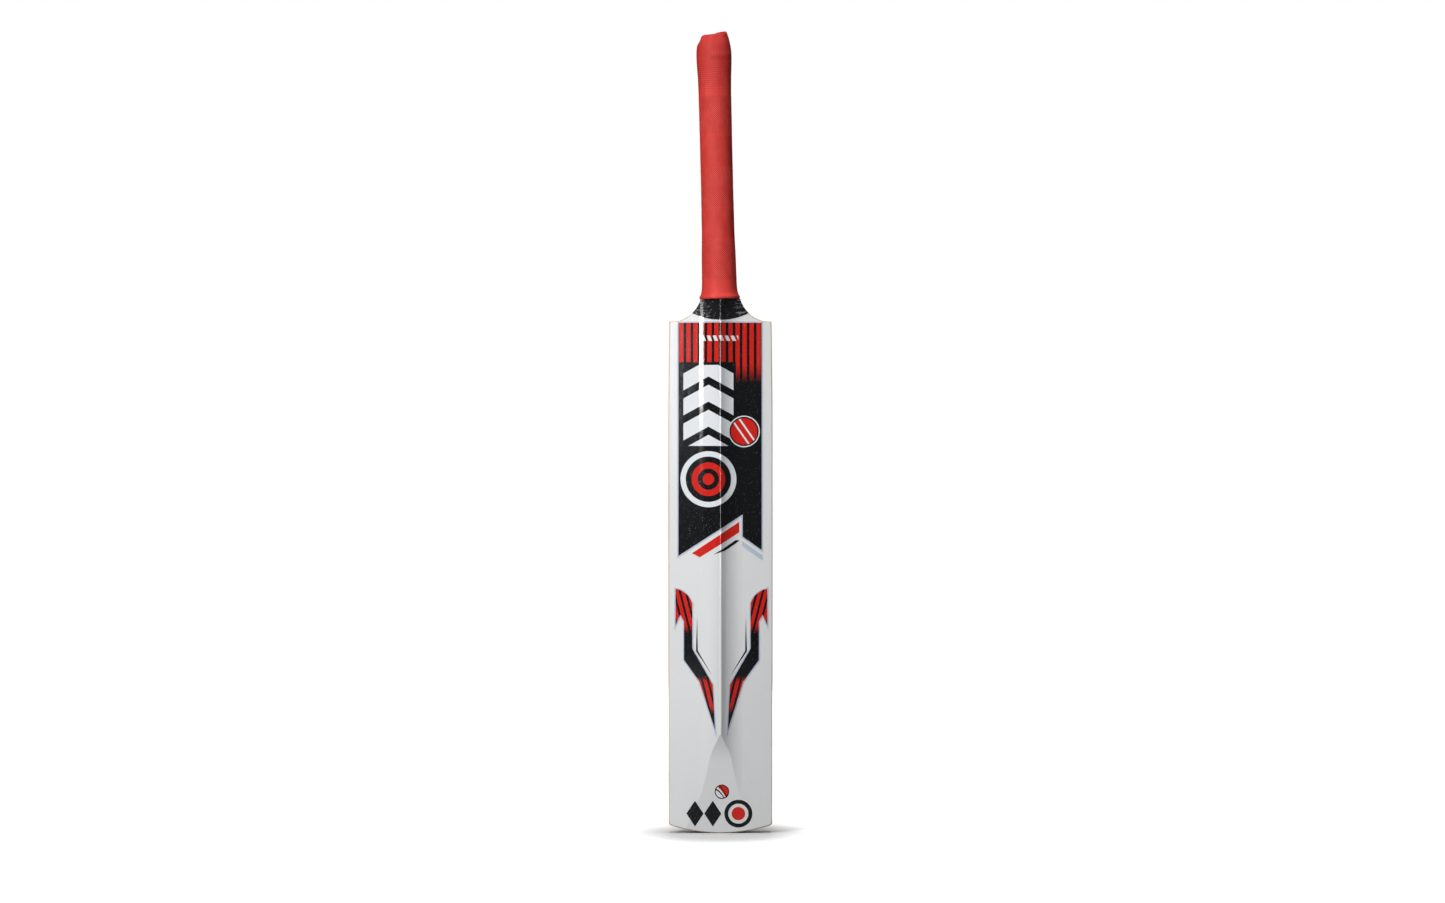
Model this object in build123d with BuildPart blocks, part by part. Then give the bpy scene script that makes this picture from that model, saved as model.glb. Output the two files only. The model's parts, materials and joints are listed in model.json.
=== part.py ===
from build123d import *
import os
from math import cos, radians, sin, sqrt

# Cricket bat, in millimetres. The origin is on the floor under the middle of the toe,
# +Z runs up to the handle, the flat hitting face looks along +Y and the ridged back along -Y.

# Blade outline, seen from the back
toe_half_width = 54.0
shoulder_half_width = 53.0
full_width_height = 450.0        # the blade has its full width below this height
shoulder_height = 531.2
shoulder_sweep = 32.0            # radius of the hollow shoulder curve
shoulder_sweep_x = 51.0          # where that curve leaves the flat of the shoulder
throat_top = 555.0               # the wood of the blade ends here, under the grip
toe_sag = 8.5                    # how far the toe's curve drops below its corners
toe_corner = 4.0

# Blade cross-section
face_y = 29.0                    # plane of the flat hitting face
loft_half_width = 60.0           # the sections run past the outline, which trims them
loft_spare = 1.0                 # and past the hitting face, which is then cut flat
crease_x = 22.0                  # the flank is hollow inside this and straight outside it
crease_share = 0.35              # share of the flank's fall that lies outside the crease
ridge_half_width = 1.2
ridge_crown = 0.55
back_edge_round = 0.8
rim_start_x = 30.0               # edges further out than this belong to the back's rim
rim_toe_height = 4.5             # and so do those lower than this
throat_edge_x = 20.0             # and, above the shoulders, those further out than this
face_edge_round = 2.2
throat_round = 1.6               # clearance of the round throat outside the flat outline

# Height, spine thickness and edge thickness along the blade
stations = (
    (-12.0, 44.0, 25.0),
    (60.0, 51.5, 31.0),
    (140.0, 57.0, 35.0),
    (210.0, 58.0, 36.0),
    (310.0, 55.0, 34.0),
    (410.0, 49.0, 29.0),
    (490.0, 43.5, 24.0),
    (560.0, 40.0, 20.5),
)

# Toe facet: the ridge ends in a steep cut that eases into a long shallow one
facet_top = 103.0
facet_top_spine = 54.8
facet_steep_run = 17.0
facet_steep_drop = 9.5
facet_total_drop = 29.0
facet_blend = 60.0
facet_overrun = 20.0

# Handle, whose axis leans a little to -X
handle_lean = 1.35
handle_x = -0.8
handle_y = 7.6
cane_length = 267.0
cane_profile = ((-4.0, 19.2), (0.0, 18.4), (6.0, 16.0), (14.0, 14.6), (30.0, 14.2))
cane_radius = 14.2
cane_top_chamfer = 1.5

# Splice: the V-shaped foot of the handle, glued into the blade
splice_top_half_width = 18.4
splice_tip_half_width = 2.5
splice_tip_height = 405.0
splice_overrun = 1.0             # the splice is cut a little past the top of the throat

# Laminations of the handle, across its depth and its width
strip_thickness = 1.5
inner_layer = 6.2
outer_layer = 40.0
column_width = 9.5
column_reach = 40.0

# Soft parts of the handle
twine_thickness = 0.8
twine_bottom = 1.2
twine_top = 262.0
grip_bottom = 0.7
grip_outer = (
    (0.7, 20.6),
    (1.8, 21.3),
    (3.4, 20.3),
    (8.0, 18.9),
    (20.0, 18.2),
    (45.0, 17.9),
    (75.0, 17.2),
    (200.0, 17.2),
    (228.0, 17.6),
    (246.0, 18.5),
    (258.0, 18.4),
    (267.0, 17.0),
    (273.5, 14.9),
    (278.8, 13.5),
)
grip_mouth = ((11.6, 278.2), (12.7, 274.0), (14.4, 269.0), (15.0, 266.0))

# Films and decals on the back
film_thickness = 0.3
film_inset = 0.9
film_top = 546.0
back_half_y = 14.0               # the back surface lies wholly on the -Y side of this
decal_thickness = 0.25
tape_thickness = 0.4
tape_reach = 30.0
tape_side_height = 540.0
tape_side_x = 29.0
tape_middle_height = 532.9

# Printed decals on the back: corner points as (x, z)
label_border_width = 1.3
label_outline = ((-43.6, 530.0), (42.8, 530.0), (42.8, 294.0), (23.0, 308.0), (23.0, 331.0), (-43.6, 288.0))
band_outline = ((-29.6, 290.8), (-21.3, 286.6), (19.4, 312.6), (19.4, 323.4))
underline_outline = ((-7.2, 289.6), (5.0, 297.2), (15.6, 304.4), (19.8, 304.2), (16.4, 301.6), (5.4, 294.0))
bar_outline = ((22.2, 303.6), (43.9, 288.4), (43.9, 282.9), (22.2, 298.4))

# Flash beside the ridge, drawn on the left and mirrored for the right
flash_middle = 1.0
flash_border_width = 1.1
flash_crown = ((-46.6, 254.0), (-35.5, 248.6), (-29.2, 238.5))
flash_stem = (
    (-29.2, 238.5),
    (-29.2, 192.0),
    (-8.0, 155.0),
    (-5.6, 108.0),
    (-21.8, 157.9),
    (-37.8, 180.2),
    (-37.8, 220.0),
    (-41.6, 227.0),
    (-46.6, 216.0),
    (-46.6, 254.0),
)
line_outline = ((-24.2, 224.0), (-23.6, 190.0), (-8.6, 164.5), (-25.4, 189.5))

# Badge above the toe: two diamonds, a ring round a disc, and a ball
diamond_centres = ((-26.5, 20.5), (-8.0, 20.5))
diamond_half_width = 8.8
diamond_half_height = 13.5
badge_ring_centre = (18.5, 20.5)
badge_ring_outer = 14.5
badge_ring_inner = 10.5
badge_disc_radius = 7.0
badge_ball_centre = (1.5, 43.5)
badge_ball_radius = 7.5

depth = 80.0                     # prisms run this far to both sides of the XZ plane
slack = 0.02                     # tolerance when edges and corners are picked out by place

os.makedirs("parts", exist_ok=True)

lean_sin = sin(radians(handle_lean))
lean_cos = cos(radians(handle_lean))
handle_origin = (handle_x, handle_y, throat_top)
handle_frame = Plane(origin=handle_origin, x_dir=(lean_cos, 0, lean_sin), z_dir=(-lean_sin, 0, lean_cos))
profile_plane = Plane(origin=handle_origin, x_dir=(lean_cos, 0, lean_sin), z_dir=(0, -1, 0))
handle_axis = Axis(handle_origin, (-lean_sin, 0, lean_cos))


def finish(part, name):
    """Label a piece and write it."""
    part.label = name
    export_step(part, f"parts/{name}.step")
    print(name, len(part.solids()), round(part.volume, 1))


def blade_section(height, spine, edge, back):
    """One cross-section of the blade, with its back grown by back."""
    flank_fall = spine - edge
    crease_y = face_y - edge - crease_share * flank_fall
    slope = crease_share * flank_fall / (toe_half_width - crease_x)
    outer_y = crease_y + slope * (loft_half_width - crease_x) - back
    crease_y = crease_y - back
    ridge_y = face_y - spine - back
    front_y = face_y + loft_spare
    with BuildSketch(Plane.XY.offset(height)) as section:
        with BuildLine():
            Line((-loft_half_width, outer_y), (-loft_half_width, front_y))
            Line((-loft_half_width, front_y), (loft_half_width, front_y))
            Line((loft_half_width, front_y), (loft_half_width, outer_y))
            Line((loft_half_width, outer_y), (crease_x, crease_y))
            TangentArc(
                (crease_x, crease_y),
                (ridge_half_width, ridge_y + ridge_crown),
                tangent=(-1, -slope),
            )
            ThreePointArc(
                (ridge_half_width, ridge_y + ridge_crown),
                (0, ridge_y),
                (-ridge_half_width, ridge_y + ridge_crown),
            )
            TangentArc(
                (-crease_x, crease_y),
                (-ridge_half_width, ridge_y + ridge_crown),
                tangent=(1, -slope),
            )
            Line((-crease_x, crease_y), (-loft_half_width, outer_y))
        make_face()
    return section.sketch


def sweep_points(side):
    """Start, middle and end of the right shoulder curve, grown outwards by side."""
    radius = shoulder_sweep - side
    centre_z = shoulder_height + shoulder_sweep
    throat = shoulder_sweep_x - sqrt(radius**2 - (centre_z - throat_top) ** 2)
    middle = (shoulder_sweep_x - radius * sin(radians(45)), centre_z - radius * cos(radians(45)))
    return (throat, throat_top), middle, (shoulder_sweep_x, centre_z - radius)


def outline_sketch(side=0.0):
    """The blade's outline in x and z, grown outwards by side."""
    throat, middle, flat = sweep_points(side)
    shoulder = (shoulder_half_width + side, flat[1])
    wide = toe_half_width + side
    toe_z = toe_sag - side
    with BuildSketch() as outline:
        with BuildLine():
            Line((0, throat_top), throat)
            ThreePointArc(throat, middle, flat)
            Line(flat, shoulder)
            Line(shoulder, (wide, full_width_height))
            Line((wide, full_width_height), (wide, toe_z))
            mirror(about=Plane.YZ)
            ThreePointArc((wide, toe_z), (0, -side), (-wide, toe_z))
        make_face()
        corners = outline.vertices().filter_by(lambda corner: corner.Y < toe_z + slack)
        fillet(corners, radius=toe_corner)
    return outline.sketch


def on_face(edge):
    """Whether an edge lies in the plane of the hitting face."""
    return abs(edge.center().Y - face_y) < slack


def on_back_rim(edge):
    """Whether an edge runs round the back where the sides begin."""
    middle = edge.center()
    along_y = edge.geom_type == GeomType.LINE and abs((edge % 0.5).Y) > 1 - slack
    if along_y or middle.Z > throat_top - slack or middle.Y > face_y - face_edge_round:
        return False
    on_throat = middle.Z > shoulder_height and abs(middle.X) > throat_edge_x
    return abs(middle.X) > rim_start_x or on_throat or middle.Z < rim_toe_height


def blank(side=0.0, back=0.0):
    """The blade before the splice is cut, grown by side and back."""
    sections = [blade_section(height, spine, edge, back) for height, spine, edge in stations]
    steep = facet_steep_drop / facet_steep_run
    facet_y = face_y - facet_top_spine - back
    throat, middle, flat = sweep_points(side + throat_round)
    with BuildPart() as body:
        loft(sections)
        split(bisect_by=Plane.XZ.offset(-face_y), keep=Keep.TOP)
        with BuildSketch(Plane.XZ):
            add(outline_sketch(side))
        extrude(amount=depth, both=True, mode=Mode.INTERSECT)
        with BuildSketch(Plane.YZ):
            with BuildLine():
                FilletPolyline(
                    (facet_y - facet_overrun * steep, facet_top + facet_overrun),
                    (facet_y + facet_steep_drop, facet_top - facet_steep_run),
                    (facet_y + facet_total_drop, -facet_overrun),
                    radius=facet_blend,
                )
                Polyline(
                    (facet_y + facet_total_drop, -facet_overrun),
                    (-depth, -facet_overrun),
                    (-depth, facet_top + facet_overrun),
                    (facet_y - facet_overrun * steep, facet_top + facet_overrun),
                )
            make_face()
        extrude(amount=depth, both=True, mode=Mode.SUBTRACT)
        fillet(body.edges().filter_by(on_back_rim), radius=back_edge_round)
        with BuildSketch(Plane.XZ.offset(-handle_y)):
            with BuildLine():
                ThreePointArc(throat, middle, flat)
                Polyline(
                    flat,
                    (2 * depth, flat[1]),
                    (2 * depth, -depth),
                    (0, -depth),
                    (0, throat_top),
                    throat,
                )
            make_face()
        revolve(axis=Axis((0, handle_y, 0), (0, 0, 1)), mode=Mode.INTERSECT)
        below_top = body.edges().filter_by(lambda edge: edge.center().Z < throat_top - slack)
        fillet(below_top.filter_by(on_face), radius=face_edge_round)
        split(bisect_by=Plane.XY.offset(throat_top), keep=Keep.BOTTOM)
    return body.part


def polygon_prism(points):
    """A prism through the whole depth with the given outline, in the XZ plane."""
    with BuildPart() as prism:
        with BuildSketch(Plane.XZ):
            with BuildLine():
                Polyline(*points, close=True)
            make_face()
        extrude(amount=depth, both=True)
    return prism.part


def sketch_prism(sketch):
    """A prism through the whole depth of a sketch drawn in XY and stood up in XZ."""
    with BuildPart() as prism:
        with BuildSketch(Plane.XZ):
            add(sketch)
        extrude(amount=depth, both=True)
    return prism.part


def polygon_sketch(points, grow=0.0):
    """A flat outline, grown outwards by grow with sharp corners."""
    with BuildSketch() as flat:
        with BuildLine():
            Polyline(*points, close=True)
        make_face()
        if grow:
            offset(amount=grow, kind=Kind.INTERSECTION)
    return flat.sketch


def flash_sketch(grow=0.0):
    """The left flash, grown outwards by grow."""
    with BuildSketch() as flat:
        with BuildLine():
            ThreePointArc(*flash_crown)
            Polyline(*flash_stem)
        make_face()
        if grow:
            offset(amount=grow, kind=Kind.INTERSECTION)
    return flat.sketch


def mirrored(sketch):
    """The same outline on the other side of the ridge."""
    return Pos(2 * flash_middle, 0) * mirror(sketch, about=Plane.YZ)


# Tape band, and the wood: let in by the thickness of the tape where it crosses the hitting face
with BuildSketch() as tape_outline:
    with BuildLine():
        ThreePointArc(
            (-tape_side_x, tape_side_height),
            (0, tape_middle_height),
            (tape_side_x, tape_side_height),
        )
        Polyline(
            (tape_side_x, tape_side_height),
            (tape_side_x + tape_reach, throat_top),
            (-tape_side_x - tape_reach, throat_top),
            (-tape_side_x, tape_side_height),
        )
    make_face()
with BuildPart() as tape_rebate:
    with BuildSketch(Plane.XZ.offset(tape_thickness - face_y)):
        add(tape_outline.sketch)
    extrude(amount=-depth)
blade_blank = blank() - tape_rebate.part

# Splice and handle core, before they are cut into laminations
splice_prism = polygon_prism(
    (
        (-splice_top_half_width, throat_top + splice_overrun),
        (splice_top_half_width, throat_top + splice_overrun),
        (splice_tip_half_width, splice_tip_height),
        (-splice_tip_half_width, splice_tip_height),
    )
)
with BuildPart() as handle_core:
    with BuildSketch(profile_plane):
        with BuildLine():
            flare = Spline(*[(radius, height) for height, radius in cane_profile])
            Polyline(
                flare @ 1,
                (cane_radius, cane_length - cane_top_chamfer),
                (cane_radius - cane_top_chamfer, cane_length),
                (0, cane_length),
                (0, cane_profile[0][0]),
                flare @ 0,
            )
        make_face()
    revolve(axis=handle_axis)
    split(bisect_by=Plane.XY.offset(throat_top), keep=Keep.TOP)
    add(blade_blank & splice_prism)

with BuildPart() as blade:
    add(blade_blank)
    add(splice_prism, mode=Mode.SUBTRACT)
finish(blade.part, "blade")

# Laminations: four layers of cane slips with a rubber strip between each pair
inner_start = strip_thickness / 2
strip_start = inner_start + inner_layer
outer_start = strip_start + strip_thickness
layers = {
    "face_outer": (outer_start, outer_start + outer_layer),
    "face_inner": (inner_start, strip_start),
    "back_inner": (-strip_start, -inner_start),
    "back_outer": (-outer_start - outer_layer, -outer_start),
}
columns = {
    "left": (-column_width / 2 - column_reach, -column_width / 2),
    "middle": (-column_width / 2, column_width / 2),
    "right": (column_width / 2, column_width / 2 + column_reach),
}
strips = {
    "face": (strip_start, outer_start),
    "centre": (-inner_start, inner_start),
    "back": (-outer_start, -strip_start),
}
core_length = 3 * cane_length


def lamination(x_range, y_range, name):
    """The part of the handle core between two widths and two depths."""
    middle = ((x_range[0] + x_range[1]) / 2, (y_range[0] + y_range[1]) / 2)
    with BuildPart() as piece:
        add(handle_core.part)
        with Locations(handle_frame.location * Location((middle[0], middle[1], 0))):
            Box(x_range[1] - x_range[0], y_range[1] - y_range[0], core_length, mode=Mode.INTERSECT)
    finish(piece.part, name)


for layer_name, y_range in layers.items():
    for column_name, x_range in columns.items():
        lamination(x_range, y_range, f"cane_slip_{layer_name}_{column_name}")
for strip_name, y_range in strips.items():
    lamination((-column_reach, column_reach), y_range, f"spring_strip_{strip_name}")

# Twine wound round the cane
with BuildPart() as binding_twine:
    with BuildSketch(profile_plane):
        with BuildLine():
            inside = Spline(*[(radius, height) for height, radius in cane_profile])
            outside = Spline(*[(radius + twine_thickness, height) for height, radius in cane_profile])
            Line(inside @ 1, (cane_radius, twine_top))
            Line((cane_radius, twine_top), (cane_radius + twine_thickness, twine_top))
            Line((cane_radius + twine_thickness, twine_top), outside @ 1)
            Line(inside @ 0, outside @ 0)
        make_face()
    revolve(axis=handle_axis)
    split(bisect_by=handle_frame.offset(twine_bottom), keep=Keep.TOP)
finish(binding_twine.part, "binding_twine")

# Rubber grip: a sleeve over the twine that draws in at its open top end, above the cane
with BuildPart() as grip:
    with BuildSketch(profile_plane):
        with BuildLine():
            wall = Spline(*[(radius, height) for height, radius in grip_outer])
            Polyline(wall @ 1, *grip_mouth, (cane_radius + twine_thickness, grip_bottom), wall @ 0)
        make_face()
    revolve(axis=handle_axis)
    with BuildSketch(profile_plane):
        with BuildLine():
            flare = Spline(*[(radius + twine_thickness, height) for height, radius in cane_profile])
            Polyline(flare @ 1, (0, cane_profile[-1][0]), (0, cane_profile[0][0]), flare @ 0)
        make_face()
    revolve(axis=handle_axis, mode=Mode.SUBTRACT)
finish(grip.part, "grip")

# White film over the back, with a margin of bare wood round it
with BuildSketch() as film_outline:
    add(outline_sketch(-film_inset))
    with Locations((0, film_top)):
        Rectangle(2 * depth, depth, align=(Align.CENTER, Align.MIN), mode=Mode.SUBTRACT)
with BuildPart() as back_half:
    add(blade_blank)
    split(bisect_by=Plane.XZ.offset(-back_half_y), keep=Keep.TOP)
with BuildPart() as back_film:
    add(back_half.part.moved(Pos(0, -film_thickness, 0)))
    add(sketch_prism(film_outline.sketch), mode=Mode.INTERSECT)
    add(back_half.part, mode=Mode.SUBTRACT)
finish(back_film.part, "back_film")

# Black tape round the shoulders, over the top of the film
with BuildPart() as shoulder_tape:
    add(blank(side=tape_thickness, back=film_thickness + tape_thickness))
    add(sketch_prism(tape_outline.sketch), mode=Mode.INTERSECT)
    add(blade_blank, mode=Mode.SUBTRACT)
    add(back_film.part, mode=Mode.SUBTRACT)
finish(shoulder_tape.part, "shoulder_tape")

# Printed decals, each a thin skin on the film
film_surface = back_half.part.moved(Pos(0, -film_thickness, 0))
decal_surface = back_half.part.moved(Pos(0, -film_thickness - decal_thickness, 0))


def decal(sketch, name):
    """A decal of the sketch's outline on the film."""
    with BuildPart() as skin:
        add(decal_surface)
        add(sketch_prism(sketch), mode=Mode.INTERSECT)
        add(film_surface, mode=Mode.SUBTRACT)
    finish(skin.part, name)


label = polygon_sketch(label_outline)
decal(label, "back_label")
decal(polygon_sketch(label_outline, label_border_width) - label, "label_border")
decal(polygon_sketch(band_outline), "label_band")
decal(polygon_sketch(underline_outline), "label_underline")
decal(polygon_sketch(bar_outline), "label_shadow_bar")

flash = flash_sketch()
flash_border = flash_sketch(flash_border_width) - flash
side_line = polygon_sketch(line_outline)
decal(flash, "flash_left")
decal(mirrored(flash), "flash_right")
decal(flash_border, "flash_border_left")
decal(mirrored(flash_border), "flash_border_right")
decal(side_line, "side_line_left")
decal(mirrored(side_line), "side_line_right")

diamond = (
    (-diamond_half_width, 0),
    (0, diamond_half_height),
    (diamond_half_width, 0),
    (0, -diamond_half_height),
)
with BuildSketch() as badge_diamonds:
    with Locations(*diamond_centres):
        add(polygon_sketch(diamond))
decal(badge_diamonds.sketch, "toe_badge_diamonds")
with BuildSketch() as badge_ring:
    with Locations(badge_ring_centre):
        Circle(badge_ring_outer)
        Circle(badge_ring_inner, mode=Mode.SUBTRACT)
decal(badge_ring.sketch, "toe_badge_ring")
with BuildSketch() as badge_disc:
    with Locations(badge_ring_centre):
        Circle(badge_disc_radius)
decal(badge_disc.sketch, "toe_badge_disc")
with BuildSketch() as badge_ball:
    with Locations(badge_ball_centre):
        Circle(badge_ball_radius)
decal(badge_ball.sketch, "toe_badge_ball")
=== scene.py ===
import json
import math

import bmesh
import bpy
from mathutils import Matrix, Vector, noise


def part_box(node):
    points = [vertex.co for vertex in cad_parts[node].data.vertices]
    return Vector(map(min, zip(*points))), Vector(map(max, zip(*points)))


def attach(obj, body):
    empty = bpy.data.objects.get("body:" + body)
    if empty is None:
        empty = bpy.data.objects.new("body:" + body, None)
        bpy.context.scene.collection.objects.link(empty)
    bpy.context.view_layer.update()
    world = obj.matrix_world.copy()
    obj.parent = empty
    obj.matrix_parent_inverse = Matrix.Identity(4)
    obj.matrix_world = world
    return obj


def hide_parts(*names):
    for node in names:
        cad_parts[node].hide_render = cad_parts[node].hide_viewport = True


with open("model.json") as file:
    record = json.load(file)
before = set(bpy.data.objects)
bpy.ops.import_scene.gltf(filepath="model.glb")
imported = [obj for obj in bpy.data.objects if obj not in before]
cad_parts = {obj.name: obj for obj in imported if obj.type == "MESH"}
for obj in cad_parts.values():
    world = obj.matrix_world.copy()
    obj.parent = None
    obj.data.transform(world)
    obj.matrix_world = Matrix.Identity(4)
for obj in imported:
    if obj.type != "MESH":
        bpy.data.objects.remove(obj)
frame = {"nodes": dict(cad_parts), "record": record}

nodes = frame["nodes"]
mmPerMetre = 1000
mountPlaces = {mount["name"]: Vector(mount["pos_m"]) for mount in frame["record"]["mounts"]}
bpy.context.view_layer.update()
print("frame loaded:", len(nodes), "nodes")


# shader maths
class Wire:
    # a socket that adds Math nodes when it is used in an expression
    def __init__(self, shade, socket):
        self.shade = shade
        self.socket = socket

    def maths(self, operation, first, second=None):
        values = [first] if second is None else [first, second]
        return self.shade.node("ShaderNodeMath", {"operation": operation}, values)

    def __add__(self, other):
        return self.maths("ADD", self, other)

    def __radd__(self, other):
        return self.maths("ADD", other, self)

    def __sub__(self, other):
        return self.maths("SUBTRACT", self, other)

    def __rsub__(self, other):
        return self.maths("SUBTRACT", other, self)

    def __mul__(self, other):
        return self.maths("MULTIPLY", self, other)

    def __rmul__(self, other):
        return self.maths("MULTIPLY", other, self)

    def __pow__(self, other):
        return self.maths("POWER", self, other)

    def __mod__(self, other):
        return self.maths("FLOORED_MODULO", self, other)

    def __gt__(self, other):
        return self.maths("GREATER_THAN", self, other)

    def __lt__(self, other):
        return self.maths("LESS_THAN", self, other)

    def __or__(self, other):
        return self.maths("MAXIMUM", self, other)

    def __and__(self, other):
        return self.maths("MINIMUM", self, other)

    def __abs__(self):
        return self.maths("ABSOLUTE", self)

    def sine(self):
        return self.maths("SINE", self)


class Shade:
    # one material, its Principled shader and the place on the bat in millimetres
    def __init__(self, name, **constants):
        self.material = bpy.data.materials.new(name)
        self.material.use_nodes = True
        self.tree = self.material.node_tree
        self.shader = self.tree.nodes["Principled BSDF"]
        for socketName, value in constants.items():
            self.shader.inputs[socketName.replace("_", " ")].default_value = value
        place = self.node("ShaderNodeTexCoord", {}, [], "Object")
        toMillimetres = {"Vector": place, "Scale": mmPerMetre}
        self.place = self.node("ShaderNodeVectorMath", {"operation": "SCALE"}, toMillimetres)
        axes = self.tree.nodes.new("ShaderNodeSeparateXYZ")
        self.tree.links.new(self.place.socket, axes.inputs[0])
        self.x, self.y, self.z = (Wire(self, out) for out in axes.outputs)

    def node(self, kind, settings, values, output=0):
        made = self.tree.nodes.new(kind)
        for key, setting in settings.items():
            setattr(made, key, setting)
        pairs = values.items() if isinstance(values, dict) else enumerate(values)
        for key, value in pairs:
            if isinstance(value, Wire):
                self.tree.links.new(value.socket, made.inputs[key])
            elif isinstance(value, tuple) and made.inputs[key].type == "RGBA":
                made.inputs[key].default_value = (*value, 1)
            else:
                made.inputs[key].default_value = value
        return Wire(self, made.outputs[output])

    def noise(self, stretch, detail=3.0, roughness=0.55, shift=0.0):
        # stretch is how many lumps fit in a millimetre along x, y and z
        mapping = {"Vector": self.place, "Scale": stretch, "Location": (shift,) * 3}
        moved = self.node("ShaderNodeMapping", {}, mapping)
        lumps = {"Vector": moved, "Scale": 1.0, "Detail": detail, "Roughness": roughness}
        return self.node("ShaderNodeTexNoise", {}, lumps)

    def mix(self, amount, first, second):
        return self.node("ShaderNodeMix", {"data_type": "RGBA"}, {0: amount, 6: first, 7: second}, 2)

    def step(self, value, low, high):
        # 0 below low and 1 above high, with a smooth rise between
        span = {"Value": value, "From Min": low, "From Max": high}
        return self.node("ShaderNodeMapRange", {"interpolation_type": "SMOOTHSTEP"}, span)

    def offset(self, centre):
        # the way from a point on the back, across and up, and its length
        x, z = self.x - centre[0], self.z - centre[1]
        return x, z, (x * x + z * z) ** 0.5

    def feed(self, socketName, wire):
        self.tree.links.new(wire.socket, self.shader.inputs[socketName])

    def bump(self, height, strength, distance):
        # height is 0 to 1, and distance is the depth of the relief in metres
        relief = {"Height": height, "Strength": strength, "Distance": distance}
        self.feed("Normal", self.node("ShaderNodeBump", {}, relief))


# wood
willow = {
    "light": (0.64, 0.49, 0.33),
    "dark": (0.40, 0.26, 0.15),
    "ringPitch": 7.5,
    "ringSlant": 0.45,
    "ringWander": 26,
    "fleckRise": (0.66, 0.72),
    "fleckTone": 0.35,
    "toeStain": (0.33, 0.22, 0.12),
    "stainRise": (2.0, 16.0),
    "grainDepth": 0.0003,
}
cane = {
    "light": (0.66, 0.50, 0.28),
    "dark": (0.34, 0.21, 0.09),
    "poreRise": (0.60, 0.68),
    "toneStep": 0.37,
    "toneSpan": 0.22,
    "shift": 7.0,
    "grainDepth": 0.0003,
}


def makeWillow():
    shade = Shade("willow_wood", Specular_IOR_Level=0.35)
    wander = shade.noise((0.012, 0.012, 0.003), 2.0)
    lane = shade.x + shade.y * willow["ringSlant"] + wander * willow["ringWander"]
    ring = (lane * (2 * math.pi / willow["ringPitch"])).sine() * 0.5 + 0.5
    fibre = shade.noise((1.9, 1.9, 0.035), 4.0, 0.65)
    blotch = shade.noise((0.03, 0.03, 0.009), 3.0, 0.5, 40.0)
    grain = ring ** 5 * 0.55 + fibre * 0.42 + blotch * 0.28 - 0.2
    colour = shade.mix(grain & 1, willow["light"], willow["dark"])
    fleck = shade.step(shade.noise((0.9, 0.9, 0.10), 2.0, 0.4, 9.0), *willow["fleckRise"])
    colour = shade.mix(fleck * willow["fleckTone"], colour, willow["dark"])
    # ground-in dirt climbs a little way up from the toe
    toe = (1 - shade.step(shade.z, *willow["stainRise"])) * shade.noise((0.2, 0.2, 0.1), 3.0) * 1.1
    shade.feed("Base Color", shade.mix(toe & 0.7, colour, willow["toeStain"]))
    shade.feed("Roughness", fibre * 0.25 + 0.38)
    shade.bump(fibre * 0.7 + ring ** 3 * 0.3, 0.35, willow["grainDepth"])
    return shade.material


def makeCane(name, shift):
    # each slip is a stick of its own, with its own tone
    shade = Shade(name, Specular_IOR_Level=0.35)
    fibre = shade.noise((2.6, 2.6, 0.05), 4.0, 0.7, shift)
    pore = shade.step(shade.noise((5.5, 5.5, 0.16), 2.0, 0.5, shift + 3), *cane["poreRise"])
    tone = fibre * 0.55 + pore * 0.35 + shift * cane["toneStep"] % cane["toneSpan"]
    shade.feed("Base Color", shade.mix(tone, cane["light"], cane["dark"]))
    shade.feed("Roughness", fibre * 0.2 + 0.45)
    shade.bump(fibre - pore * 0.5, 0.4, cane["grainDepth"])
    return shade.material


# films and prints
film = {
    "white": (0.80, 0.81, 0.815),
    "shadow": (0.70, 0.715, 0.72),
    "speck": (0.35, 0.34, 0.33),
    "speckRise": (0.80, 0.815),
    "dustRise": (0.70, 0.76),
    "reliefDepth": 0.0005,
}
prints = {
    "black": (0.006, 0.007, 0.008),
    "red": (0.66, 0.018, 0.012),
    "border": (0.50, 0.57, 0.68),
    "white": (0.78, 0.81, 0.84),
}
gloss = {"Roughness": 0.16, "Specular_IOR_Level": 0.5, "Coat_Weight": 0.6, "Coat_Roughness": 0.06}


def filmRelief(shade, strength=0.35):
    # the laminate follows the wood under it, with small creases and trapped dust
    waves = shade.noise((0.05, 0.05, 0.012), 3.0)
    creases = shade.noise((0.5, 0.5, 0.10), 4.0, 0.6, 5.0)
    dust = shade.step(shade.noise((1.1, 1.1, 1.1), 1.0, 0.3, 17.0), *film["dustRise"])
    shade.bump(waves * 1.2 + creases * 0.12 + dust * 0.5, strength, film["reliefDepth"])
    return dust


def finishPrint(shade, colour, dust, paleness, roughness):
    # dust under the laminate shows pale and dull
    shade.feed("Base Color", shade.mix(dust * paleness, colour, prints["white"]))
    shade.feed("Roughness", dust * 0.2 + roughness)
    return shade.material


def makeFilm():
    shade = Shade("white_film", **gloss)
    dust = filmRelief(shade)
    cloud = shade.noise((0.02, 0.02, 0.008), 3.0, 0.5, 30.0)
    speck = shade.step(shade.noise((0.55, 0.55, 0.55), 1.0, 0.2, 61.0), *film["speckRise"])
    colour = shade.mix(cloud * 0.45 + dust * 0.1, film["white"], film["shadow"])
    shade.feed("Base Color", shade.mix(speck * 0.5, colour, film["speck"]))
    shade.feed("Roughness", cloud * 0.12 + dust * 0.2 + 0.10)
    return shade.material


def makePrint(name, colour):
    shade = Shade(name, **gloss)
    return finishPrint(shade, colour, filmRelief(shade), 0.12, 0.13)


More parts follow.
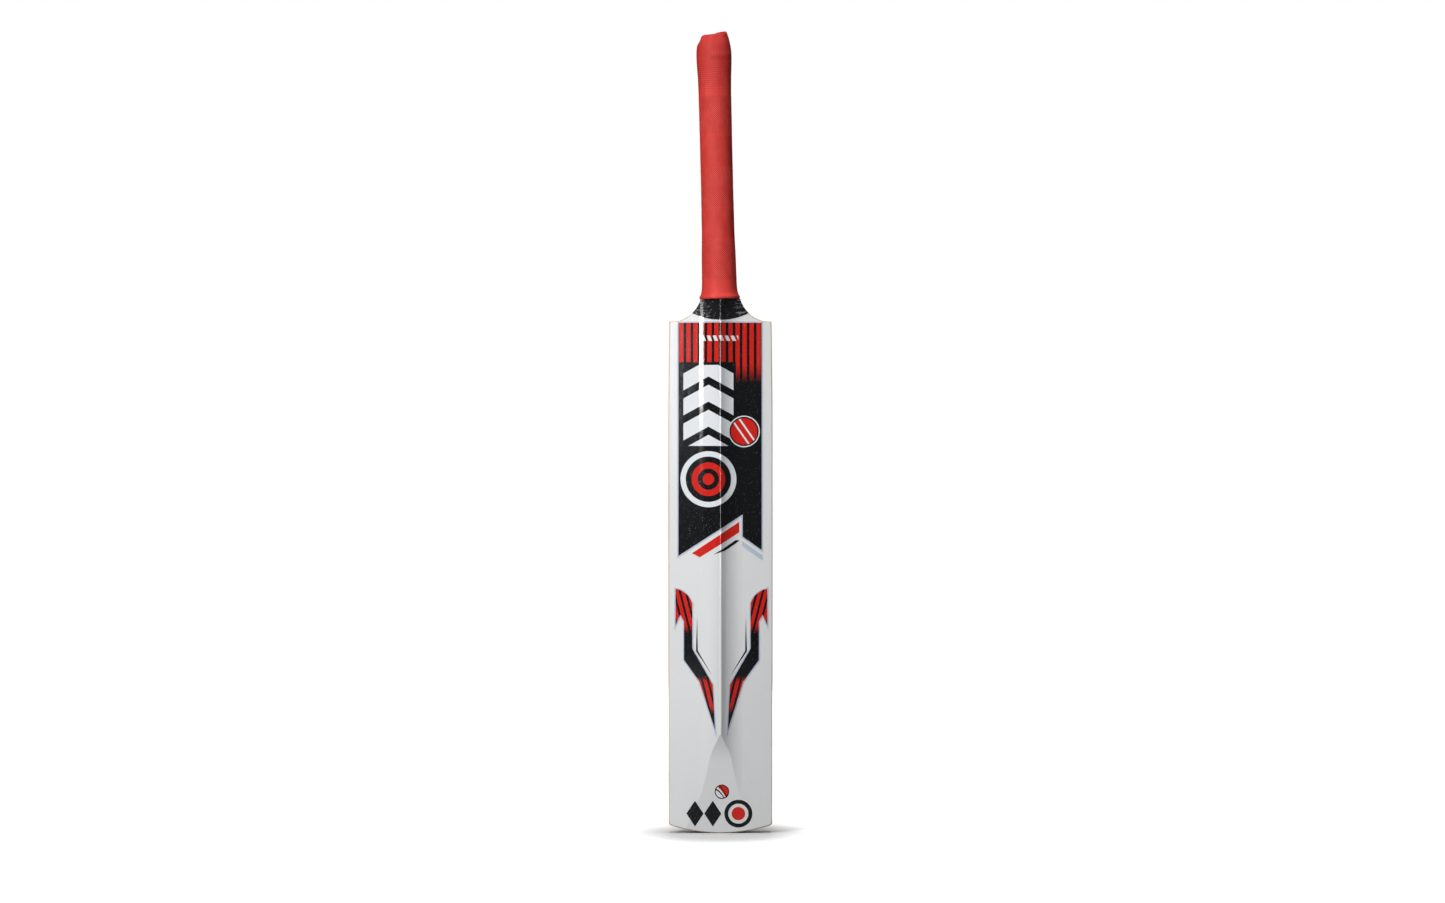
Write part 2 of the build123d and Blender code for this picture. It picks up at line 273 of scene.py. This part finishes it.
# places are x and z on the back in millimetres
label = {
    "stripePitch": 7.3,
    "stripeRed": 0.62,
    "stripeStart": -42.9,
    "stripeEnd": 489.0,
    "fadeStart": 490.0,
    "fadeEnd": 466.0,
    "fadeSide": 16.0,
    "reliefStrength": 0.45,
}
chevrons = {
    "middle": -12.5, "halfWidth": 26, "pitch": 26, "bar": 17.5, "slope": 0.55, "start": 396,
    "low": 402, "high": 486,
}
roundel = {
    "centre": (-12.5, 367.5),
    "rings": (
        (30.5, "black"), (29.0, "white"), (23.5, "black"), (17.5, "red"), (11.0, "black"), (6.0, "red"),
    ),
}
seamBall = {
    "centre": (24.5, 417.0),
    "rings": ((16.4, "white"), (15.2, "black"), (13.8, "red")),
    "slant": (0.82, 0.57), "seam": 3.4, "seamHalf": 0.9,
}
ticks = {"pitch": 6.2, "width": 3.6, "slant": 0.4, "left": -19, "right": 18.5, "low": 511, "high": 516.5}


def paintRings(shade, colour, reach, rings):
    for radius, tone in rings:
        colour = shade.mix(reach < radius, colour, prints[tone])
    return colour


def makeLabel():
    shade = Shade("printed_label", **gloss)
    x, z = shade.x, shade.z
    dust = filmRelief(shade, label["reliefStrength"])
    stripe = (x - label["stripeStart"]) % label["stripePitch"] < label["stripePitch"] * label["stripeRed"]
    # the stripes fade out on the right and end sharply over the chevrons
    side = x > label["fadeSide"]
    fade = shade.step(z, label["fadeEnd"], label["fadeStart"]) * side
    fade = fade + (z > label["stripeEnd"]) * (1 - side)
    colour = shade.mix(stripe * fade, prints["black"], prints["red"])

    fold = abs(x - chevrons["middle"])
    bars = (z + fold * chevrons["slope"] - chevrons["start"]) % chevrons["pitch"] < chevrons["bar"]
    inside = (fold < chevrons["halfWidth"]) * (z > chevrons["low"]) * (z < chevrons["high"])
    colour = shade.mix(bars * inside, colour, prints["white"])

    colour = paintRings(shade, colour, shade.offset(roundel["centre"])[2], roundel["rings"])

    ballX, ballZ, reach = shade.offset(seamBall["centre"])
    colour = paintRings(shade, colour, reach, seamBall["rings"])
    across = abs(ballX * seamBall["slant"][0] + ballZ * seamBall["slant"][1])
    seam = abs(across - seamBall["seam"]) < seamBall["seamHalf"]
    skin = reach < seamBall["rings"][-1][0]
    colour = shade.mix(skin * seam, colour, prints["white"])

    tick = (x + z * ticks["slant"]) % ticks["pitch"] < ticks["width"]
    tick = tick * (x > ticks["left"]) * (x < ticks["right"]) * (z > ticks["low"]) * (z < ticks["high"])
    colour = shade.mix(tick, colour, prints["white"])
    return finishPrint(shade, colour, dust, 0.12, 0.10)


badgeBall = {
    "centre": (1.5, 43.5), "rim": 6.5, "slant": (0.80, 0.60), "bend": 0.04, "seam": 1.9, "seamHalf": 0.55,
    "split": 0.2,
}


def makeBall():
    # the small ball over the badge: dark rim, red cap, pale foot and a double seam
    shade = Shade("printed_ball", **gloss)
    dust = filmRelief(shade)
    x, z, reach = shade.offset(badgeBall["centre"])
    across = x * badgeBall["slant"][0] + z * badgeBall["slant"][1] + x * x * badgeBall["bend"]
    seam = abs(abs(across) - badgeBall["seam"]) < badgeBall["seamHalf"]
    colour = shade.mix(across < badgeBall["split"], prints["red"], prints["white"])
    colour = shade.mix(seam, colour, prints["black"])
    colour = shade.mix(reach > badgeBall["rim"], colour, prints["black"])
    return finishPrint(shade, colour, dust, 0.1, 0.12)


flash = {
    "pitch": 6.2, "redShare": 0.62, "slant": 0.25, "middle": 1.0, "topFade": (206.0, 220.0),
    "footLow": (124.0, 134.0), "footHigh": (156.0, 164.0),
}


def makeFlash():
    # red stripes at the top and foot of each flash, black between
    shade = Shade("printed_flash", **gloss)
    dust = filmRelief(shade)
    across = abs(shade.x - flash["middle"])
    lane = (across - shade.z * flash["slant"]) % flash["pitch"]
    stripe = lane < flash["pitch"] * flash["redShare"]
    top = shade.step(shade.z, *flash["topFade"])
    foot = shade.step(shade.z, *flash["footLow"]) * (1 - shade.step(shade.z, *flash["footHigh"]))
    colour = shade.mix(stripe * (top | foot), prints["black"], prints["red"])
    return finishPrint(shade, colour, dust, 0.1, 0.12)


tape = {"low": (0.006, 0.006, 0.007), "high": (0.016, 0.017, 0.02), "wrinkleDepth": 0.0060}


def makeTape():
    # stretched tape, wrinkled across its pull
    shade = Shade("black_tape", Coat_Weight=0.3, Coat_Roughness=0.06)
    pull = shade.noise((0.05, 0.05, 0.30), 2.0, 0.45)
    lump = shade.noise((0.16, 0.16, 0.16), 2.0, 0.5, 8.0)
    shade.feed("Base Color", shade.mix(pull, tape["low"], tape["high"]))
    shade.feed("Roughness", lump * 0.16 + 0.10)
    shade.bump(pull * 0.9 + lump * 0.5, 1.0, tape["wrinkleDepth"])
    return shade.material


# rubber and thread
rubber = {
    "red": (0.74, 0.056, 0.045),
    # dark is the painted shade in the rib grooves, and the darker top of the grip
    "dark": (0.26, 0.008, 0.007),
    # dust is the painted highlight on the rib tops
    "dust": (0.80, 0.17, 0.14),
    "dustRise": (1.15, 1.6),
    "topDarkRise": (745.0, 822.0),
    "gritDepth": 0.0002,
}
springRubber = {"low": (0.03, 0.026, 0.022), "high": (0.075, 0.065, 0.055), "grainDepth": 0.0002}
twine = {"low": (0.02, 0.018, 0.016), "high": (0.10, 0.09, 0.08), "pitch": 0.9, "turnDepth": 0.0004}


def makeGripRubber():
    shade = Shade("grip_rubber", Specular_IOR_Level=0.25)
    relief = shade.node("ShaderNodeAttribute", {"attribute_name": "relief"}, [], "Fac")
    mottle = shade.noise((0.11, 0.11, 0.07), 4.0, 0.6)
    grit = shade.noise((3.2, 3.2, 3.2), 2.0, 0.5)
    # painted shade: the colour goes darker where the relief is low, in the grooves between the ribs, with a
    # random mottle mixed in
    colour = shade.mix((relief * 1.15 + mottle * 0.5 - 0.1) & 1, rubber["dark"], rubber["red"])
    # painted highlight: where the relief and mottle are high, on the rib tops, the colour is mixed paler
    colour = shade.mix(shade.step(relief + mottle, *rubber["dustRise"]) * 0.4, colour, rubber["dust"])
    # the colour goes darker towards the top of the grip
    topDarkening = shade.step(shade.z, *rubber["topDarkRise"]) * 0.4
    shade.feed("Base Color", shade.mix(topDarkening, colour, rubber["dark"]))
    shade.feed("Roughness", mottle * 0.2 + 0.5)
    shade.bump(grit, 0.25, rubber["gritDepth"])
    return shade.material


def makeSpringRubber():
    shade = Shade("spring_rubber")
    grain = shade.noise((1.5, 1.5, 0.8), 3.0)
    shade.feed("Base Color", shade.mix(grain, springRubber["low"], springRubber["high"]))
    shade.feed("Roughness", grain * 0.2 + 0.6)
    shade.bump(grain, 0.4, springRubber["grainDepth"])
    return shade.material


def makeTwine():
    shade = Shade("waxed_twine")
    turn = (shade.z * (2 * math.pi / twine["pitch"])).sine() * 0.5 + 0.5
    fuzz = shade.noise((4.0, 4.0, 4.0), 3.0)
    # painted shade: the colour goes darker between the turns, where the bump is low
    shade.feed("Base Color", shade.mix(turn * 0.7 + fuzz * 0.3, twine["low"], twine["high"]))
    shade.feed("Roughness", fuzz * 0.2 + 0.6)
    shade.bump(turn, 0.8, twine["turnDepth"])
    return shade.material


# grip: profiles are height over the blade and radius, in millimetres, and angles are in radians
grip = {
    "lean": 1.35,  # degrees
    "columns": 208,
    "rowStep": 0.55,
    "plainStep": 3.5,  # rows are this much wider apart where there are no ribs
    "innerStep": 20.0,
    "wall": 0.8,  # a point this close under the profile counts as the outside
    "outer": (
        (-0.2, 20.7), (0.5, 21.2), (1.5, 21.3), (2.6, 21.1), (3.4, 20.3), (8.0, 18.9), (20.0, 18.1),
        (45.0, 17.8), (75.0, 17.0), (200.0, 17.0), (228.0, 17.5), (246.0, 18.4), (258.0, 18.3),
        (266.0, 17.0), (272.0, 15.2), (275.0, 14.1),
    ),
    "rim": ((276.6, 13.5), (277.1, 12.8), (276.6, 12.1)),
    "inner": (
        (273.6, 12.1), (268.6, 14.4), (262.0, 15.0), (200.0, 15.0), (100.0, 15.0), (30.0, 15.0),
        (14.0, 15.4), (6.0, 16.8), (-0.2, 19.2),
    ),
    "wobble": 0.18,  # how far the hand-worn rubber strays in and out
    "wobbleRound": 2,
    "wobbleLength": 66.667,
}
ribs = {
    "pitch": 2.1,
    "round": 48,
    "depth": 0.5,
    "plain": 0.6,  # the smooth rubber's height, where 1 is the top of a rib
    "bands": ((19.5, 61.0, 1), (61.0, 94.0, -1), (94.0, 135.5, 1), (135.5, 170.0, -1), (170.0, 210.5, 1)),
    "bandEdge": 0.9,
    "margin": 3,
    "fine": (214.0, 244.0),
    "fineHeight": 0.3,
    "fineFade": 6,
    "hatch": (246.0, 258.0),
    "hatchSide": -0.9,
    "hatchSpread": (0.55, 0.75),
    "hatchPitch": 3.4,
    "hatchRound": 27,
    "hatchHeight": 0.4,
}
mouth = {
    "start": 262.0,
    "waves": ((1, 3.0, 0.45), (2, 0.86, 2.19), (3, 0.45, 0.9708), (5, 0.3, -0.4292)),  # count, height, angle
    "drop": 2.2,
    "pucker": 0.35,
    "puckers": 7,
    "puckerTurn": -1.0,
    "lobeAngle": 3.9,
    "lobeSpread": 0.5,
    "lobeSwell": 0.9,
    "lobeRise": 1.2,
}


def smooth(value, low, high):
    share = min(max((value - low) / (high - low), 0.0), 1.0)
    return share * share * (3 - 2 * share)


def fadeIn(height, low, high, edge):
    # 1 between low and high, falling off over the edge at both ends
    return smooth(height, low, low + edge) * (1 - smooth(height, high - edge, high))


def ribHeight(height, angle):
    # 0 in a groove and 1 on a rib
    climb = 2 * math.pi * height / ribs["pitch"]
    for low, high, hand in ribs["bands"]:
        if low <= height < high:
            phase = climb - hand * ribs["round"] * angle
            share = fadeIn(height, low, high, ribs["bandEdge"])
            return (0.5 + 0.5 * math.sin(phase)) * share + (1 - share) * ribs["plain"]
    low, high = ribs["fine"]
    if low <= height < high:
        share = fadeIn(height, low, high, ribs["fineFade"])
        return ribs["plain"] + ribs["fineHeight"] * math.sin(climb) * share
    low, high = ribs["hatch"]
    patch = smooth(math.cos(angle - ribs["hatchSide"]), *ribs["hatchSpread"])
    if low <= height < high and patch > 0:
        row = 2 * math.pi * height / ribs["hatchPitch"]
        turn = ribs["hatchRound"] * angle
        return ribs["plain"] + ribs["hatchHeight"] * math.sin(row + turn) * math.sin(row - turn) * patch
    return ribs["plain"]


def refine(profile, step):
    # more rows along a profile, close together where the ribs are
    ribsLow, ribsHigh = ribs["bands"][0][0] - ribs["margin"], ribs["fine"][1] + ribs["margin"]
    rows = []
    for (low, lowRadius), (high, highRadius) in zip(profile, profile[1:]):
        inRibs = ribsLow <= low and high <= ribsHigh
        count = max(1, round(abs(high - low) / (step if inRibs else grip["plainStep"] * step)))
        for number in range(count):
            share = number / count
            rows.append((low + (high - low) * share, lowRadius + (highRadius - lowRadius) * share))
    return rows + [profile[-1]]


def eased(profile, height):
    # radius at a height, on a smooth line through the profile's points
    last = len(profile) - 1
    index = next((number for number in range(last) if height <= profile[number + 1][0]), last - 1)
    low, high = profile[index], profile[index + 1]
    before, after = profile[max(index - 1, 0)], profile[min(index + 2, last)]
    run = high[0] - low[0]
    share = (height - low[0]) / run
    lowSlope = (high[1] - before[1]) / (high[0] - before[0]) * run
    highSlope = (after[1] - low[1]) / (after[0] - low[0]) * run
    square, cube = share ** 2, share ** 3
    return (
        (2 * cube - 3 * square + 1) * low[1]
        + (cube - 2 * square + share) * lowSlope
        + (3 * square - 2 * cube) * high[1]
        + (cube - square) * highSlope
    )


def gripMatrix():
    # from the blade's top, up the leaning handle
    lean = math.radians(grip["lean"])
    hold = mountPlaces["grip_hold"]
    axis = Vector((-math.sin(lean), 0, math.cos(lean)))
    foot = hold - axis * ((hold.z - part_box("blade")[1].z) / axis.z)
    return Matrix.Translation(foot) @ Matrix.Rotation(-lean, 4, "Y")


def shapeMouth(height, angle, end):
    # the open end leans up to the right and away, with a rolled lobe on the left
    lift = sum(size * math.cos(count * angle - turn) for count, size, turn in mouth["waves"]) - mouth["drop"]
    lobe = math.exp(-((angle % (2 * math.pi) - mouth["lobeAngle"]) / mouth["lobeSpread"]) ** 2)
    swell = mouth["pucker"] * math.sin(mouth["puckers"] * angle - mouth["puckerTurn"])
    swell += mouth["lobeSwell"] * lobe
    return height + end * (lift + mouth["lobeRise"] * lobe), end * swell


def addObject(name, bm, material):
    for face in bm.faces:
        face.smooth = True
    mesh = bpy.data.meshes.new(name)
    bm.to_mesh(mesh)
    bm.free()
    mesh.materials.append(material)
    made = bpy.data.objects.new(name, mesh)
    bpy.context.scene.collection.objects.link(made)
    return made


def makeGrip(material):
    rows = refine(grip["outer"], grip["rowStep"])
    profile = [(height, eased(grip["outer"], height)) for height, _ in rows]
    profile += list(grip["rim"]) + refine(grip["inner"], grip["innerStep"])
    bm = bmesh.new()
    ring = [bm.verts.new((radius / mmPerMetre, 0, height / mmPerMetre)) for height, radius in profile]
    line = [bm.edges.new(pair) for pair in zip(ring, ring[1:] + ring[:1])]
    bmesh.ops.spin(
        bm, geom=ring + line, cent=(0, 0, 0), axis=(0, 0, 1),
        angle=2 * math.pi, steps=grip["columns"], use_merge=True,
    )
    relief = bm.verts.layers.float.new("relief")
    lipStart, rimStart = grip["outer"][0][0], grip["outer"][-1][0]
    for vert in bm.verts:
        height, angle = vert.co.z * mmPerMetre, math.atan2(vert.co.y, vert.co.x)
        radius = math.hypot(vert.co.x, vert.co.y) * mmPerMetre
        outside = radius > eased(grip["outer"], min(max(height, lipStart), rimStart)) - grip["wall"]
        # the relief also sets the rubber's colour, so the inside, at 0.5, gets a little painted shade
        rib = ribHeight(height, angle) if outside else 0.5
        vert[relief] = rib
        height, swell = shapeMouth(height, angle, smooth(height, mouth["start"], rimStart))
        radius += swell
        if outside:
            spot = Vector((math.cos(angle), math.sin(angle), height / grip["wobbleLength"]))
            radius += (rib - 1) * ribs["depth"]
            radius += noise.noise(spot * grip["wobbleRound"]) * grip["wobble"]
        vert.co = Vector((math.cos(angle) * radius, math.sin(angle) * radius, height)) / mmPerMetre
    bmesh.ops.recalc_face_normals(bm, faces=bm.faces)
    bm.transform(gripMatrix())
    sleeve = addObject("grip_sleeve", bm, material)
    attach(sleeve, "root")
    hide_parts("grip")


# put the finishes on
finishes = {
    "blade": makeWillow(),
    "back_film": makeFilm(),
    "back_label": makeLabel(),
    "shoulder_tape": makeTape(),
    "binding_twine": makeTwine(),
    "toe_badge_ball": makeBall(),
}
borderPrint = makePrint("border_print", prints["border"])
redPrint = makePrint("red_print", prints["red"])
blackPrint = makePrint("black_print", prints["black"])
flashPrint = makeFlash()
stripRubber = makeSpringRubber()
for nodeName in nodes:
    if nodeName in finishes:
        continue
    if nodeName.startswith("cane_slip"):
        finishes[nodeName] = makeCane(nodeName + "_wood", cane["shift"] * len(finishes))
    elif nodeName.startswith("spring_strip"):
        finishes[nodeName] = stripRubber
    elif "border" in nodeName or nodeName == "label_shadow_bar":
        finishes[nodeName] = borderPrint
    elif nodeName in ("label_band", "toe_badge_disc"):
        finishes[nodeName] = redPrint
    elif nodeName.startswith("flash"):
        finishes[nodeName] = flashPrint
    elif nodeName != "grip":
        finishes[nodeName] = blackPrint
for nodeName, material in finishes.items():
    slots = nodes[nodeName].data.materials
    slots.clear()
    slots.append(material)
print("finishes on", len(finishes), "nodes")

makeGrip(makeGripRubber())
print("grip made")


# studio, in metres, except for the soft shade round the bat's foot
studio = {
    "lens": 135.0, "sensor": 36.0, "viewWidth": 1.5006, "aimX": 0.0021, "aimZ": 0.3962,
    "backdrop": 1.0, "ambient": 0.05,
    "floorHalf": 14.0, "paper": 0.72, "dullPaper": 0.16, "shadeReach": (40, 150), "shadeSquash": 0.6,
    "softboxes": (
        # name, place, height of the aim, width, height, power, seen in gloss
        ("left_key", (-1.41, -2.19, 1.39), 0.42, 0.42, 1.2, 52, True),
        ("front_fill", (-0.30, -3.6, 0.9), 0.42, 0.9, 1.0, 32, True),
        ("top_soft", (0, -0.3, 2.6), 0.0, 1.4, 1.4, 30, True),
        ("rear_fill", (0.0, 3.2, 1.5), 0.42, 0.8, 1.2, 42, False),
    ),
}


def grey(tone):
    return (tone, tone, tone, 1)


def seenOrBounced(material, seen, bounced):
    # one shader for the eye, another for the light the backdrop throws back
    tree = material.node_tree
    path = tree.nodes.new("ShaderNodeLightPath")
    blend = tree.nodes.new("ShaderNodeMixShader")
    tree.links.new(path.outputs["Is Camera Ray"], blend.inputs["Fac"])
    tree.links.new(bounced.outputs[0], blend.inputs[1])
    tree.links.new(seen.outputs[0], blend.inputs[2])
    output = next(node for node in tree.nodes if node.type.startswith("OUTPUT"))
    tree.links.new(blend.outputs[0], output.inputs["Surface"])


def makePaper():
    # the paper glows, less so round the foot of the bat, where a soft shadow shows
    shade = Shade(
        "floor_paper", Base_Color=grey(studio["paper"]),
        Roughness=0.9, Specular_IOR_Level=0.0, Emission_Strength=1.0,
    )
    x, y = shade.x, shade.y * studio["shadeSquash"]
    shade.feed("Emission Color", shade.step((x * x + y * y) ** 0.5, *studio["shadeReach"]))
    dull = shade.tree.nodes.new("ShaderNodeBsdfDiffuse")
    dull.inputs["Color"].default_value = grey(studio["dullPaper"])
    seenOrBounced(shade.material, shade.shader, dull)
    return shade.material


def makeFloor():
    # a wide flat sheet; the bright backdrop meets it at the horizon
    bm = bmesh.new()
    bmesh.ops.create_grid(bm, x_segments=1, y_segments=1, size=studio["floorHalf"])
    addObject("studio_floor", bm, makePaper())


def addSoftbox(name, place, aimHeight, width, height, power, inGloss):
    light = bpy.data.lights.new(name, "AREA")
    light.shape = "RECTANGLE"
    light.size, light.size_y = width, height
    light.energy = power
    lamp = bpy.data.objects.new(name, light)
    lamp.location = place
    aim = Vector((0, 0, aimHeight)) - Vector(place)
    lamp.rotation_euler = aim.to_track_quat("-Z", "Y").to_euler()
    lamp.visible_glossy = inGloss  # a light behind the bat would leave a bright rim on the grip
    bpy.context.scene.collection.objects.link(lamp)


def makeBackdrop():
    world = bpy.data.worlds.new("studio_world")
    world.use_nodes = True
    ambient = world.node_tree.nodes["Background"]
    backdrop = world.node_tree.nodes.new("ShaderNodeBackground")
    for background, strength in ((ambient, studio["ambient"]), (backdrop, studio["backdrop"])):
        background.inputs["Color"].default_value = grey(1)
        background.inputs["Strength"].default_value = strength
    seenOrBounced(world, backdrop, ambient)
    bpy.context.scene.world = world


def addCamera():
    # level, behind the bat's ridge, far enough back for the lens to take in the view's width
    camera = bpy.data.cameras.new("camera")
    camera.lens = studio["lens"]
    camera.sensor_width = studio["sensor"]
    distance = studio["viewWidth"] * studio["lens"] / studio["sensor"]
    eye = bpy.data.objects.new("camera", camera)
    eye.location = (studio["aimX"], -distance, studio["aimZ"])
    eye.rotation_euler = (math.pi / 2, 0, 0)
    bpy.context.scene.collection.objects.link(eye)
    bpy.context.scene.camera = eye


makeFloor()
for softbox in studio["softboxes"]:
    addSoftbox(*softbox)
makeBackdrop()
addCamera()
bpy.context.scene.view_settings.view_transform = "Standard"
print("studio ready")
